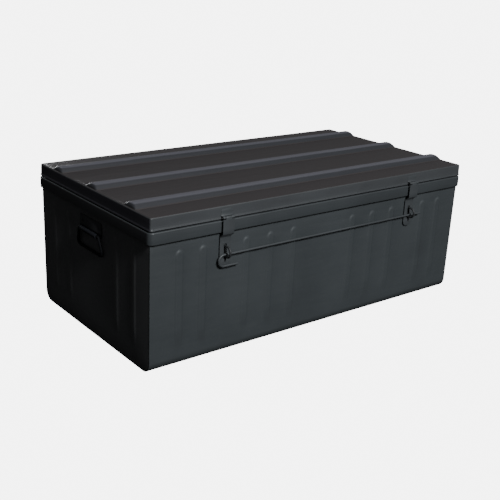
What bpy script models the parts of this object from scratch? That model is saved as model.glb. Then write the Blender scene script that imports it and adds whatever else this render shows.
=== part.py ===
"""Steel trunk tool box: sheet body, hinged lid, two hasps with staples, one locking rod, drop handles."""

import math

import bmesh
import bpy
from mathutils import Matrix, Vector

# Driving dimensions, metres. X runs along the length, Y to the back, Z up from the flat bottom.
body_length = 0.897
body_width = 0.472
wall_top = 0.300
sheet = 0.0015
gap = 0.0003
bend_radius = 0.025
bend_steps = 6
panel_flange = 0.016

lid_length = 0.900
lid_width = 0.4792
lid_top = 0.331
lid_bottom = 0.303
hem_out = 0.0034
hem_height = 0.004
lid_rib_spacing = 0.157
lid_rib_base = 0.046
lid_rib_top = 0.026
lid_rib_height = 0.010
lid_rib_length = 0.894
lid_rib_slope = 0.005

collar_length = 0.908
collar_width = 0.486
collar_bottom = 0.276
collar_top = 0.302
collar_corner = 0.0125
collar_lip = 0.012

rib_width = 0.022
rib_crest = 0.008
rib_height = 0.002
rib_bottom = 0.045
rib_top = 0.256
rib_run_out = 0.010
front_ribs = (0.088, 0.152, 0.216, 0.325, 0.381)
end_ribs = (0.105, 0.175)

fitting_sheet = 0.0016
knuckle_clearance = 0.0007
hasp_x = 0.273
hasp_width = 0.028
hasp_axis_y = -0.247
hasp_axis_z = 0.308
hasp_sheet = 0.002
hasp_plate_sheet = 0.001
hasp_plate_start = 0.0028
hasp_plate_fold = 0.0055
hasp_plate_top = 0.0165
strap_offset = 0.001
strap_start = -0.0015
strap_crank_high = -0.034
strap_crank_low = -0.042
hasp_tip = -0.1075
hasp_barrel = 0.0033
hasp_pin = 0.0015
hasp_knuckle = 0.0144
hasp_pin_spare = 0.001
slot_width = 0.0075
slot_low = -0.0905
slot_high = -0.0575
slot_cut_depth = 0.004

staple_z = 0.234
staple_wire = 0.00225
staple_radius = 0.0113
staple_out = 0.020
staple_plate_width = 0.020
staple_plate_height = 0.048
staple_plate_corner = 0.004

rod_radius = 0.0025
rod_tip = 0.311
rod_bend = -0.278
rod_end = -0.242
rod_bend_radius = 0.0123

hinge_x = (-0.273, 0.0, 0.273)
hinge_axis_y = 0.2475
hinge_axis_z = 0.3025
hinge_width = 0.060
hinge_barrel = 0.004
hinge_pin = 0.002
hinge_knuckle = 0.020
hinge_pin_spare = 0.002
body_leaf_start = -0.0032
body_leaf_fold = -0.0065
body_leaf_end = -0.0255
body_leaf_rivet = -0.017
lid_leaf_start = 0.0036
lid_leaf_fold = 0.0085
lid_leaf_end = 0.0265
lid_leaf_rivet = 0.018
leaf_rivet_share = 0.34

handle_axis_x = 0.4545
handle_axis_z = 0.236
bail_wire = 0.003
bail_top_y = 0.044
bail_low_y = 0.0525
bail_drop = 0.040
bail_lean = 0.0026
bail_corner = 0.009
bail_turn = 0.005
bail_tip_y = 0.022
bracket_half = 0.0475
bracket_low = 0.229
bracket_high = 0.266
tube_half = 0.036
bracket_tube = 0.0053
bracket_rivet_share = 0.75

rivet_head = 0.0032
rivet_dome = 0.0016
rivet_shank = 0.0016
rivet_hole_depth = 0.012

parts = None
cutters = None
paint = None
dark_paint = None
bare_steel = None


def clear_scene():
    for old in list(bpy.data.objects):
        bpy.data.objects.remove(old)
    for old in list(bpy.data.collections):
        bpy.data.collections.remove(old)


def new_collection(name):
    collection = bpy.data.collections.new(name)
    bpy.context.scene.collection.children.link(collection)
    return collection


def new_material(name, colour, roughness, metallic):
    material = bpy.data.materials.new(name)
    material.use_nodes = True
    shader = material.node_tree.nodes["Principled BSDF"]
    shader.inputs["Base Color"].default_value = (*colour, 1.0)
    shader.inputs["Roughness"].default_value = roughness
    shader.inputs["Metallic"].default_value = metallic
    return material


def new_object(name, mesh, collection, material=None, origin=(0.0, 0.0, 0.0)):
    made = bpy.data.objects.new(name, mesh)
    made.location = origin
    collection.objects.link(made)
    if material:
        mesh.materials.append(material)
    return made


def mesh_from(bm, name):
    mesh = bpy.data.meshes.new(name)
    bm.to_mesh(mesh)
    bm.free()
    return mesh


def block(low, high):
    """A box between two corners."""
    low = Vector(low)
    high = Vector(high)
    bm = bmesh.new()
    bmesh.ops.create_cube(bm, size=1.0)
    bmesh.ops.scale(bm, vec=high - low, verts=bm.verts)
    bmesh.ops.translate(bm, vec=(low + high) / 2, verts=bm.verts)
    return bm


def round_bar(radius, length, steps, axis, centre=(0.0, 0.0, 0.0)):
    """A closed cylinder along one axis."""
    bm = bmesh.new()
    bmesh.ops.create_cone(bm, cap_ends=True, segments=steps, radius1=radius, radius2=radius, depth=length)
    turn = {"X": Matrix.Rotation(math.pi / 2, 3, "Y"), "Y": Matrix.Rotation(math.pi / 2, 3, "X")}
    bmesh.ops.rotate(bm, matrix=turn.get(axis, Matrix.Identity(3)), verts=bm.verts)
    bmesh.ops.translate(bm, vec=centre, verts=bm.verts)
    return bm


def round_edges(bm, chosen, radius, steps):
    bmesh.ops.bevel(bm, geom=chosen, offset=radius, offset_type="OFFSET", segments=steps, profile=0.5,
                    affect="EDGES", clamp_overlap=True)


def thicken(made, thickness):
    shell = made.modifiers.new("Sheet", "SOLIDIFY")
    shell.thickness = thickness
    shell.offset = -1.0
    shell.use_even_offset = True
    return made


def cut(made, bm, operation="DIFFERENCE"):
    """A Boolean whose other body sits in the cutter collection with the same origin."""
    name = "cut_" + made.name + "_" + str(len(made.modifiers))
    other = new_object(name, mesh_from(bm, name), cutters, origin=made.location)
    other.parent = made.parent
    other.hide_render = True
    other.display_type = "WIRE"
    change = made.modifiers.new("Cut", "BOOLEAN")
    change.operation = operation
    change.solver = "EXACT"
    change.object = other
    return made


def join(made, bm):
    return cut(made, bm, "UNION")


def smooth(made, degrees=35.0):
    made.data.shade_smooth()
    made.data.set_sharp_from_angle(angle=math.radians(degrees))
    return made


def faces_towards(bm, direction):
    direction = Vector(direction)
    return [face for face in bm.faces if face.normal.dot(direction) > 0.99]


def slice_faces(bm, faces, point, normal):
    """Cut only the given faces by a plane and return all faces that come from them."""
    edges = {edge for face in faces for edge in face.edges}
    verts = {vert for face in faces for vert in face.verts}
    geom = list(faces) + list(edges) + list(verts)
    result = bmesh.ops.bisect_plane(bm, geom=geom, dist=1e-6, plane_co=point, plane_no=normal)
    return [item for item in result["geom"] if isinstance(item, bmesh.types.BMFace)]


def press_rib(bm, out, across, along, centre, width, crest, ends, run_out, height):
    """Raise one rib out of a flat wall: out is the wall's normal, across and along are its axes."""
    out = Vector(out)
    across = Vector(across)
    along = Vector(along)
    low, high = ends
    wall = [face for face in faces_towards(bm, out)
            if min(v.co.dot(across) for v in face.verts) < centre < max(v.co.dot(across) for v in face.verts)]
    for offset in (-width / 2, -crest / 2, crest / 2, width / 2):
        wall = slice_faces(bm, wall, across * (centre + offset), across)
    strips = [face for face in wall if abs(face.calc_center_median().dot(across) - centre) < width / 2]
    for level in (low, low + run_out, high - run_out, high):
        strips = slice_faces(bm, strips, along * level, along)
    verts = {vert for face in strips for vert in face.verts}
    for vert in verts:
        on_crest = abs(vert.co.dot(across) - centre) < crest / 2 + 1e-5
        inside = low + run_out - 1e-5 < vert.co.dot(along) < high - run_out + 1e-5
        if on_crest and inside:
            vert.co += out * height


def make_body_wrap():
    bm = block((-body_length / 2, -body_width / 2, 0.0), (body_length / 2, body_width / 2, wall_top))
    open_sides = [face for face in bm.faces if face.normal.z > 0.9 or abs(face.normal.x) > 0.9]
    bmesh.ops.delete(bm, geom=open_sides, context="FACES_ONLY")
    bends = [edge for edge in bm.edges if len(edge.link_faces) == 2]
    round_edges(bm, bends, bend_radius, bend_steps)
    bm.normal_update()
    for side in (-1, 1):
        for distance in front_ribs:
            for centre in (-distance, distance):
                press_rib(bm, (0, side, 0), (1, 0, 0), (0, 0, 1), centre, rib_width, rib_crest,
                          (rib_bottom, rib_top), rib_run_out, rib_height)
    body = new_object("body_wrap", mesh_from(bm, "body_wrap"), parts, paint)
    thicken(body, sheet)
    smooth(body)


def make_end_panel(name, side):
    inset = sheet + gap
    low = (-panel_flange, -body_width / 2 + inset, inset)
    high = (0.0, body_width / 2 - inset, wall_top)
    bm = block(low, high)
    open_sides = [face for face in bm.faces if face.normal.z > 0.9 or face.normal.x < -0.9]
    bmesh.ops.delete(bm, geom=open_sides, context="FACES_ONLY")
    corners = [edge for edge in bm.edges if abs((edge.verts[0].co - edge.verts[1].co).normalized().x) > 0.9
               and len(edge.link_faces) == 2]
    round_edges(bm, corners, bend_radius - inset, bend_steps)
    bm.normal_update()
    for distance in end_ribs:
        for centre in (-distance, distance):
            press_rib(bm, (1, 0, 0), (0, 1, 0), (0, 0, 1), centre, rib_width, rib_crest,
                      (rib_bottom, rib_top), rib_run_out, rib_height)
    panel = new_object(name, mesh_from(bm, name), parts, dark_paint, (side * body_length / 2, 0.0, 0.0))
    panel.rotation_euler.z = 0.0 if side > 0 else math.pi
    thicken(panel, sheet)
    smooth(panel)


def rounded_block(size_x, size_y, low_z, high_z, radius):
    bm = block((-size_x / 2, -size_y / 2, low_z), (size_x / 2, size_y / 2, high_z))
    upright = [edge for edge in bm.edges if abs((edge.verts[0].co - edge.verts[1].co).normalized().z) > 0.9]
    round_edges(bm, upright, radius, 4)
    return bm


def make_rim_collar():
    bm = rounded_block(collar_length, collar_width, collar_bottom, collar_top, collar_corner)
    collar = new_object("rim_collar", mesh_from(bm, "rim_collar"), parts, paint)
    cut(collar, rounded_block(collar_length - 2 * sheet, collar_width - 2 * sheet, collar_bottom + sheet,
                              collar_top - sheet, collar_corner - sheet))
    around = (body_length / 2 + gap, body_width / 2 + gap)
    cut(collar, block((-around[0], -around[1], collar_bottom - 0.01),
                      (around[0], around[1], collar_top - sheet)))
    mouth = (collar_length / 2 - collar_lip - sheet, collar_width / 2 - collar_lip - sheet)
    cut(collar, block((-mouth[0], -mouth[1], collar_top - 0.01), (mouth[0], mouth[1], collar_top + 0.01)))
    smooth(collar)


def make_lid():
    bm = block((-lid_length / 2, -lid_width / 2, lid_bottom), (lid_length / 2, lid_width / 2, lid_top))
    bmesh.ops.delete(bm, geom=[face for face in bm.faces if face.normal.z < -0.9], context="FACES_ONLY")
    bm.normal_update()
    for centre in (-lid_rib_spacing, 0.0, lid_rib_spacing):
        press_rib(bm, (0, 0, 1), (0, 1, 0), (1, 0, 0), centre, lid_rib_base, lid_rib_top,
                  (-lid_rib_length / 2, lid_rib_length / 2), lid_rib_slope, lid_rib_height)
    bmesh.ops.translate(bm, vec=(0.0, -hinge_axis_y, -hinge_axis_z), verts=bm.verts)
    lid = new_object("lid", mesh_from(bm, "lid"), parts, paint, (0.0, hinge_axis_y, hinge_axis_z))
    thicken(lid, sheet)
    outer = (lid_length / 2 + hem_out, lid_width / 2 + hem_out)
    inner = (lid_length / 2 - sheet / 2, lid_width / 2 - sheet / 2)
    hem = block((-outer[0], -outer[1], lid_bottom), (outer[0], outer[1], lid_bottom + hem_height))
    ends = [face for face in hem.faces if abs(face.normal.z) > 0.9]
    bmesh.ops.inset_region(hem, faces=ends, thickness=outer[0] - inner[0], use_even_offset=True)
    loops = [face for face in ends if face.is_valid]
    edges = [edge for face in loops for edge in face.edges]
    bmesh.ops.delete(hem, geom=loops, context="FACES_ONLY")
    bmesh.ops.bridge_loops(hem, edges=edges)
    bmesh.ops.recalc_face_normals(hem, faces=hem.faces)
    bmesh.ops.translate(hem, vec=(0.0, -hinge_axis_y, -hinge_axis_z), verts=hem.verts)
    join(lid, hem)
    smooth(lid, 25.0)
    return lid


def strip(path, width, x=0.0):
    """An open sheet: a side profile of (y, z) points drawn out along X."""
    bm = bmesh.new()
    left = [bm.verts.new((x - width / 2, y, z)) for y, z in path]
    edges = [bm.edges.new(pair) for pair in zip(left, left[1:])]
    made = bmesh.ops.extrude_edge_only(bm, edges=edges)
    moved = [item for item in made["geom"] if isinstance(item, bmesh.types.BMVert)]
    bmesh.ops.translate(bm, vec=(width, 0.0, 0.0), verts=moved)
    bmesh.ops.recalc_face_normals(bm, faces=bm.faces)
    return bm


def bent_plate(name, path, width, thickness, material, origin):
    plate = new_object(name, mesh_from(strip(path, width), name), parts, material, origin)
    shell = plate.modifiers.new("Sheet", "SOLIDIFY")
    shell.thickness = thickness
    shell.offset = 0.0
    shell.use_even_offset = True
    return plate


def knuckle_gaps(width, knuckle, reach, middle):
    """Boxes that clear the other leaf's knuckles: the middle one, or the two outer ones."""
    if middle:
        return [block((-knuckle / 2 - gap, -reach, -reach), (knuckle / 2 + gap, reach, reach))]
    far = width / 2 + 0.002
    return [block((side[0], -reach, -reach), (side[1], reach, reach))
            for side in ((-far, -knuckle / 2), (knuckle / 2, far))]


def add_barrel(leaf, width, knuckle, radius, bore, reach, middle):
    """Roll the leaf's edge round the pin: a barrel, its bore, and gaps for the other leaf's knuckles."""
    join(leaf, round_bar(radius, width, 16, "X"))
    cut(leaf, round_bar(bore, width + 0.01, 12, "X"))
    for space in knuckle_gaps(width, knuckle, reach, middle):
        cut(leaf, space)


def make_pin(name, radius, length, origin):
    pin = new_object(name, mesh_from(round_bar(radius, length, 12, "X"), name), parts, bare_steel, origin)
    smooth(pin)
    return pin


def make_rivet(name, origin, direction, shank):
    """A domed rivet: a profile turned by Screw, head outwards along the direction given."""
    profile = [(0.0, rivet_dome), (rivet_head * 0.62, rivet_dome * 0.78), (rivet_head, 0.0),
               (rivet_shank, 0.0), (rivet_shank, -shank), (0.0, -shank)]
    bm = bmesh.new()
    verts = [bm.verts.new((x, 0.0, z)) for x, z in profile]
    for pair in zip(verts, verts[1:]):
        bm.edges.new(pair)
    rivet = new_object(name, mesh_from(bm, name), parts, paint, origin)
    turned = rivet.modifiers.new("Turn", "SCREW")
    turned.steps = 10
    turned.render_steps = 10
    turned.use_merge_vertices = True
    turned.merge_threshold = 0.00001
    turned.use_smooth_shade = True
    rivet.rotation_euler = Vector(direction).to_track_quat("Z", "Y").to_euler()
    return rivet


def rivet_hole(x, y, z, axis):
    return round_bar(rivet_shank + gap, rivet_hole_depth, 10, axis, (x, y, z))


def make_hinge(index, x, lid):
    origin = Vector((x, hinge_axis_y, hinge_axis_z))
    label = ("left", "middle", "right")[index]
    reach = hinge_barrel + knuckle_clearance
    body_plane = collar_width / 2 + gap + fitting_sheet / 2 - hinge_axis_y
    body_path = [(0.0, body_leaf_start), (body_plane, body_leaf_fold), (body_plane, body_leaf_end)]
    body_leaf = bent_plate("hinge_body_leaf_" + label, body_path, hinge_width, fitting_sheet, paint, origin)
    add_barrel(body_leaf, hinge_width, hinge_knuckle, hinge_barrel, hinge_pin + gap, reach, True)
    lid_plane = lid_width / 2 + gap + fitting_sheet / 2 - hinge_axis_y
    lid_path = [(0.0, lid_leaf_start), (lid_plane, lid_leaf_fold), (lid_plane, lid_leaf_end)]
    lid_leaf = bent_plate("hinge_lid_leaf_" + label, lid_path, hinge_width, fitting_sheet, paint, origin)
    add_barrel(lid_leaf, hinge_width, hinge_knuckle - 2 * gap, hinge_barrel, hinge_pin + gap, reach, False)
    pin = make_pin("hinge_pin_" + label, hinge_pin, hinge_width + hinge_pin_spare, origin)
    attach(lid_leaf, lid)
    attach(pin, lid)
    for side, word in ((-1, "a"), (1, "b")):
        spot = side * hinge_width * leaf_rivet_share
        cut(body_leaf, rivet_hole(spot, body_plane, body_leaf_rivet, "Y"))
        cut(lid_leaf, rivet_hole(spot, lid_plane, lid_leaf_rivet, "Y"))
        body_face = Vector((spot, body_plane + fitting_sheet / 2 + gap, body_leaf_rivet))
        lid_face = Vector((spot, lid_plane + fitting_sheet / 2 + gap, lid_leaf_rivet))
        tail = fitting_sheet + gap
        make_rivet("rivet_hinge_body_" + label + "_" + word, origin + body_face, (0, 1, 0), tail)
        attach(make_rivet("rivet_hinge_lid_" + label + "_" + word, origin + lid_face, (0, 1, 0), tail), lid)
    smooth(body_leaf)
    smooth(lid_leaf)


def attach(child, parent):
    """Parent without moving: both are unrotated, so only the location changes."""
    child.location = Vector(child.location) - Vector(parent.location)
    child.parent = parent
    for modifier in child.modifiers:
        if modifier.type == "BOOLEAN":
            modifier.object.location = child.location
            modifier.object.parent = parent


def make_hasp(label, x, lid):
    origin = Vector((x, hasp_axis_y, hasp_axis_z))
    reach = hasp_barrel + knuckle_clearance
    plate_y = -lid_width / 2 - gap - hasp_plate_sheet / 2 - hasp_axis_y
    plate_path = [(0.0, hasp_plate_start), (plate_y, hasp_plate_fold), (plate_y, hasp_plate_top)]
    plate = bent_plate("hasp_plate_" + label, plate_path, hasp_width, hasp_plate_sheet, paint, origin)
    add_barrel(plate, hasp_width, hasp_knuckle, hasp_barrel, hasp_pin + gap, reach, True)
    tongue = -body_width / 2 - gap - fitting_sheet - gap - hasp_sheet / 2 - hasp_axis_y
    path = [(strap_offset, strap_start), (strap_offset, strap_crank_high), (tongue, strap_crank_low),
            (tongue, hasp_tip)]
    strap = bent_plate("hasp_strap_" + label, path, hasp_width, hasp_sheet, paint, origin)
    add_barrel(strap, hasp_width, hasp_knuckle - 2 * gap, hasp_barrel, hasp_pin + gap, reach, False)
    slot = block((-slot_width / 2, tongue - slot_cut_depth, slot_low),
                 (slot_width / 2, tongue + slot_cut_depth, slot_high))
    cut(strap, slot)
    pin = make_pin("hasp_pin_" + label, hasp_pin, hasp_width + hasp_pin_spare, origin)
    attach(plate, lid)
    attach(strap, lid)
    attach(pin, lid)
    smooth(plate)
    smooth(strap)
    return tongue + hasp_axis_y - hasp_sheet / 2


def wire_object(name, points, radius, material, origin=(0.0, 0.0, 0.0), sides=2):
    """A round wire through the points: a curve with a bevel, made a mesh with welded caps."""
    curve = bpy.data.curves.new(name + "_curve", "CURVE")
    curve.dimensions = "3D"
    curve.bevel_depth = radius
    curve.bevel_resolution = sides
    curve.use_fill_caps = True
    spline = curve.splines.new("POLY")
    spline.points.add(len(points) - 1)
    for point, place in zip(spline.points, points):
        point.co = (*place, 1.0)
    source = bpy.data.objects.new(name + "_curve", curve)
    bpy.context.scene.collection.objects.link(source)
    bpy.context.view_layer.update()
    evaluated = source.evaluated_get(bpy.context.evaluated_depsgraph_get())
    mesh = bpy.data.meshes.new_from_object(evaluated)
    bm = bmesh.new()
    bm.from_mesh(mesh)
    bmesh.ops.remove_doubles(bm, verts=bm.verts, dist=0.00001)
    bmesh.ops.recalc_face_normals(bm, faces=bm.faces)
    bm.to_mesh(mesh)
    bm.free()
    mesh.materials.clear()
    made = new_object(name, mesh, parts, material, origin)
    bpy.data.objects.remove(source)
    smooth(made, 50.0)
    return made


def arc(centre, radius, start, end, steps):
    """Points of an arc in a plane, angles in degrees."""
    return [(centre[0] + radius * math.cos(math.radians(start + (end - start) * i / steps)),
             centre[1] + radius * math.sin(math.radians(start + (end - start) * i / steps)))
            for i in range(steps + 1)]


def make_staple(label, x):
    plate_back = -body_width / 2 - gap
    half_width = staple_plate_width / 2
    half_height = staple_plate_height / 2
    bm = block((x - half_width, plate_back - fitting_sheet + gap, staple_z - half_height),
               (x + half_width, plate_back, staple_z + half_height))
    upright = [edge for edge in bm.edges if abs((edge.verts[0].co - edge.verts[1].co).normalized().y) > 0.9]
    round_edges(bm, upright, staple_plate_corner, 3)
    staple = new_object("staple_" + label, mesh_from(bm, "staple"), parts, paint)
    tongue_face = plate_back - fitting_sheet - gap - hasp_sheet
    centre_y = tongue_face - staple_out + staple_radius + staple_wire
    loop = arc((centre_y, staple_z), staple_radius, 90.0, 270.0, 8)
    root = plate_back - fitting_sheet / 2
    side = [(root, staple_z + staple_radius)] + loop + [(root, staple_z - staple_radius)]
    wire = wire_object("staple_wire", [(x, y, z) for y, z in side], staple_wire, paint)
    wire_bm = bmesh.new()
    wire_bm.from_mesh(wire.data)
    bpy.data.objects.remove(wire)
    join(staple, wire_bm)
    smooth(staple, 40.0)


def make_lock_rod(tongue_face):
    y = tongue_face - gap - rod_radius
    z = staple_z - staple_radius + staple_wire + gap + rod_radius
    bend = arc((rod_bend, z - rod_bend_radius), rod_bend_radius, 90.0, 270.0, 10)
    side = [(rod_tip, z)] + bend + [(rod_end, z - 2 * rod_bend_radius)]
    wire_object("lock_rod", [(x, 0.0, height - z) for x, height in side], rod_radius, paint, (0.0, y, z), 3)


def make_handle(label, side):
    wall_x = side * (body_length / 2 + gap)
    plate_out = side * (body_length / 2 + gap + fitting_sheet)
    low_x, high_x = sorted((wall_x, plate_out))
    bm = block((low_x, -bracket_half, bracket_low), (high_x, bracket_half, bracket_high))
    bracket = new_object("handle_bracket_" + label, mesh_from(bm, "handle_bracket"), parts, dark_paint)
    axis = (side * handle_axis_x, 0.0, handle_axis_z)
    join(bracket, round_bar(bracket_tube, 2 * tube_half, 16, "Y", axis))
    cut(bracket, round_bar(bail_wire + gap, 2 * tube_half + 0.004, 16, "Y", axis))
    rivet_z = (bracket_high + handle_axis_z + bracket_tube) / 2
    for word, y in (("a", -bracket_half * bracket_rivet_share), ("b", bracket_half * bracket_rivet_share)):
        cut(bracket, rivet_hole((low_x + high_x) / 2, y, rivet_z, "X"))
        head = (plate_out + side * gap, y, rivet_z)
        make_rivet("rivet_handle_" + label + "_" + word, head, (side, 0, 0), fitting_sheet + gap)
    smooth(bracket, 40.0)

    top_y = bail_top_y
    low_y = bail_low_y
    half = [(bail_tip_y, 0.0)]
    half += arc((top_y - bail_turn, -bail_turn), bail_turn, 90.0, 0.0, 3)
    half += arc((low_y - bail_corner, bail_corner - bail_drop), bail_corner, 0.0, -90.0, 5)
    path = half + [(-y, z) for y, z in reversed(half)]
    lean = side * bail_lean / bail_drop
    wire_object("handle_bail_" + label, [(lean * z, y, z) for y, z in path], bail_wire, dark_paint, axis, 3)


clear_scene()
parts = new_collection("truck_tool_box")
cutters = new_collection("cutters")
paint = new_material("black_paint", (0.040, 0.045, 0.048), 0.45, 0.0)
dark_paint = new_material("black_paint_ends", (0.030, 0.033, 0.035), 0.45, 0.0)
bare_steel = new_material("pin_steel", (0.20, 0.20, 0.20), 0.40, 0.9)
make_body_wrap()
make_end_panel("end_panel_left", -1)
make_end_panel("end_panel_right", 1)
make_rim_collar()
trunk_lid = make_lid()
for place, hinge in enumerate(hinge_x):
    make_hinge(place, hinge, trunk_lid)
for hand, hasp in (("left", -hasp_x), ("right", hasp_x)):
    front_of_tongue = make_hasp(hand, hasp, trunk_lid)
    make_staple(hand, hasp)
make_lock_rod(front_of_tongue)
make_handle("left", -1)
make_handle("right", 1)
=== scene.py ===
import math

import bmesh
import bpy
from mathutils import Matrix, Vector


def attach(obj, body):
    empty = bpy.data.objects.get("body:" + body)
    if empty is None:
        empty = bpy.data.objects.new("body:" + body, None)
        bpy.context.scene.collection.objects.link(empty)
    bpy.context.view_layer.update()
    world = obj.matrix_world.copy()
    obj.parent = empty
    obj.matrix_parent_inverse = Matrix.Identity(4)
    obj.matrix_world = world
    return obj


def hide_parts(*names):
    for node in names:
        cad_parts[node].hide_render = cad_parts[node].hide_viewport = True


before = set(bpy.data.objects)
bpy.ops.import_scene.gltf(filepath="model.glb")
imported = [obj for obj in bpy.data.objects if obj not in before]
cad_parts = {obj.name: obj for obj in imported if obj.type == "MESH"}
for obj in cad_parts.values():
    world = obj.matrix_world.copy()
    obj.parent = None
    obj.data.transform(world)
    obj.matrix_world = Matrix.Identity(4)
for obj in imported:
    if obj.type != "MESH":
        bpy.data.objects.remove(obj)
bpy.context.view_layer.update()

xAxis = Vector((1.0, 0.0, 0.0))
yAxis = Vector((0.0, 1.0, 0.0))
zAxis = Vector((0.0, 0.0, 1.0))
closeTo = 0.0001  # places nearer than this are taken as the same
mergeWithin = 0.00001  # corners nearer than this are merged
turnedTo = 0.9  # a face or edge counts as lying along an axis above this
squareOn = 0.99  # only a flat wall, without the bends beside it


def clearSelection():
    if bpy.context.object and bpy.context.object.mode != "OBJECT":
        bpy.ops.object.mode_set(mode="OBJECT")
    bpy.ops.object.select_all(action="DESELECT")


def makeActive(piece):
    clearSelection()
    bpy.context.view_layer.objects.active = piece
    piece.select_set(True)


def openEdit(piece, kind):
    makeActive(piece)
    bpy.ops.object.mode_set(mode="EDIT")
    bpy.ops.mesh.select_mode(type=kind)
    bpy.ops.mesh.select_all(action="DESELECT")


def closeEdit():
    bpy.ops.object.mode_set(mode="OBJECT")


def pick(piece, kind, test):
    shape = bmesh.from_edit_mesh(piece.data)
    groups = {"VERT": shape.verts, "EDGE": shape.edges, "FACE": shape.faces}
    bpy.ops.mesh.select_all(action="DESELECT")
    chosen = [item for item in groups[kind] if test(item)]
    for item in chosen:
        item.select_set(True)
    shape.select_flush_mode()
    bmesh.update_edit_mesh(piece.data)
    return len(chosen)


def dropFaces(piece, test, kind="FACE"):
    openEdit(piece, "FACE")
    if pick(piece, "FACE", test):
        bpy.ops.mesh.delete(type=kind)
    closeEdit()


def sliceAlong(piece, axis, places, test):  # flat cuts through the chosen faces only
    openEdit(piece, "FACE")
    for place in places:
        if pick(piece, "FACE", test):
            bpy.ops.mesh.bisect(plane_co=axis * place, plane_no=axis)
    closeEdit()


def cutAway(piece, place, away):  # drops everything on the far side of a plane
    openEdit(piece, "FACE")
    bpy.ops.mesh.select_all(action="SELECT")
    bpy.ops.mesh.bisect(plane_co=place, plane_no=away, clear_outer=True)
    closeEdit()


def bevelEdges(piece, radius, steps, test):
    openEdit(piece, "EDGE")
    if pick(piece, "EDGE", test):
        bpy.ops.mesh.bevel(offset=radius, offset_type="OFFSET", segments=steps, profile=0.5, affect="EDGES")
    closeEdit()


def roundCorners(piece, radius, steps, test):
    openEdit(piece, "VERT")
    if pick(piece, "VERT", test):
        bpy.ops.mesh.bevel(offset=radius, offset_type="OFFSET", segments=steps, profile=0.5,
                           affect="VERTICES")
    closeEdit()


def moveVerts(piece, shift):
    openEdit(piece, "VERT")
    shape = bmesh.from_edit_mesh(piece.data)
    for vert in shape.verts:
        vert.co += shift(vert.co)
    bmesh.update_edit_mesh(piece.data)
    closeEdit()


def runsAlong(edge, axis):
    return abs((edge.verts[0].co - edge.verts[1].co).normalized().dot(axis)) > turnedTo


def recalcOutside(piece):
    openEdit(piece, "FACE")
    bpy.ops.mesh.select_all(action="SELECT")
    bpy.ops.mesh.remove_doubles(threshold=mergeWithin)
    bpy.ops.mesh.normals_make_consistent(inside=False)
    closeEdit()


def applyAll(piece):
    makeActive(piece)
    for modifier in list(piece.modifiers):
        bpy.ops.object.modifier_apply(modifier=modifier.name)


def sheetMetal(piece, thickness, side=-1.0):
    shell = piece.modifiers.new("Sheet", "SOLIDIFY")
    shell.thickness = thickness
    shell.offset = side
    shell.use_even_offset = True
    applyAll(piece)


def softEdges(piece, width, degrees=55.0, steps=2):
    soft = piece.modifiers.new("Soft edges", "BEVEL")
    soft.width = width
    soft.segments = steps
    soft.limit_method = "ANGLE"
    soft.angle_limit = math.radians(degrees)
    applyAll(piece)


def boxPiece(name, low, high):
    low = Vector(low)
    high = Vector(high)
    clearSelection()
    bpy.ops.mesh.primitive_cube_add(size=1.0, location=(low + high) / 2)
    piece = bpy.context.object
    piece.name = name
    piece.scale = high - low
    bpy.ops.object.transform_apply(location=True, rotation=True, scale=True)
    return piece


def planePiece(name, halfX, halfY, height=0.0):
    clearSelection()
    bpy.ops.mesh.primitive_plane_add(size=2.0, location=(0.0, 0.0, height))
    piece = bpy.context.object
    piece.name = name
    piece.scale = (halfX, halfY, 1.0)
    bpy.ops.object.transform_apply(location=True, rotation=True, scale=True)
    return piece


def cutWith(piece, cutter, operation="DIFFERENCE"):
    change = piece.modifiers.new("Cut", "BOOLEAN")
    change.operation = operation
    change.solver = "EXACT"
    change.object = cutter
    applyAll(piece)
    bpy.data.objects.remove(cutter)


def smoothStep(value):
    value = min(max(value, 0.0), 1.0)
    return value * value * (3.0 - 2.0 * value)


def clampTo(value, limit):
    return min(max(value, -limit), limit)


def arcPoints(centre, radius, start, end, steps):  # degrees, both ends counted
    turns = [math.radians(start + (end - start) * step / steps) for step in range(steps + 1)]
    return [(centre[0] + radius * math.cos(turn), centre[1] + radius * math.sin(turn)) for turn in turns]


def sweepRim(piece, core, rings):  # carries the open rim round the core through (distance out, height)
    openEdit(piece, "EDGE")
    pick(piece, "EDGE", lambda edge: edge.is_boundary)
    for out, height in rings:
        bpy.ops.mesh.extrude_edges_move(TRANSFORM_OT_translate={"value": (0.0, 0.0, -0.001)})
        shape = bmesh.from_edit_mesh(piece.data)
        for vert in shape.verts:
            if vert.select:
                near = Vector((clampTo(vert.co.x, core[0]), clampTo(vert.co.y, core[1]), 0.0))
                away = Vector((vert.co.x - near.x, vert.co.y - near.y, 0.0)).normalized()
                vert.co = near + away * out + zAxis * height
        bmesh.update_edit_mesh(piece.data)
    closeEdit()


def ribPlaces(centre, width, steps):  # the cuts across one rib
    return [centre + width * (step / steps - 0.5) for step in range(steps + 1)]


ribSettings = {  # the pressed ribs of the walls and the ends
    "width": 0.022, "low": 0.038, "high": 0.257, "runOut": 0.045, "nose": 0.016, "across": 14,
    "rows": (0.038, 0.045, 0.052, 0.060, 0.068, 0.077, 0.090, 0.120, 0.160, 0.200, 0.235, 0.241, 0.243,
             0.245, 0.247, 0.249, 0.2505, 0.252, 0.2535, 0.255, 0.2563, 0.257),
}


def ribCuts(distances):
    places = []
    for distance in distances:
        for centre in (-distance, distance):
            places += ribPlaces(centre, ribSettings["width"], ribSettings["across"])
    return places


def pressedRib(across, along, distances, crest):  # 0 beside the nearest rib, 1 on its crest
    s = ribSettings
    half = s["width"] / 2
    near = min(distances, key=lambda distance: abs(abs(across) - distance))
    over = max(along - (s["high"] - s["nose"]), 0.0) * half / s["nose"]
    distance = math.hypot(abs(across) - near, over)
    side = smoothStep((half - distance) / (half - crest / 2))
    return side * smoothStep((along - s["low"]) / s["runOut"])


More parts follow.
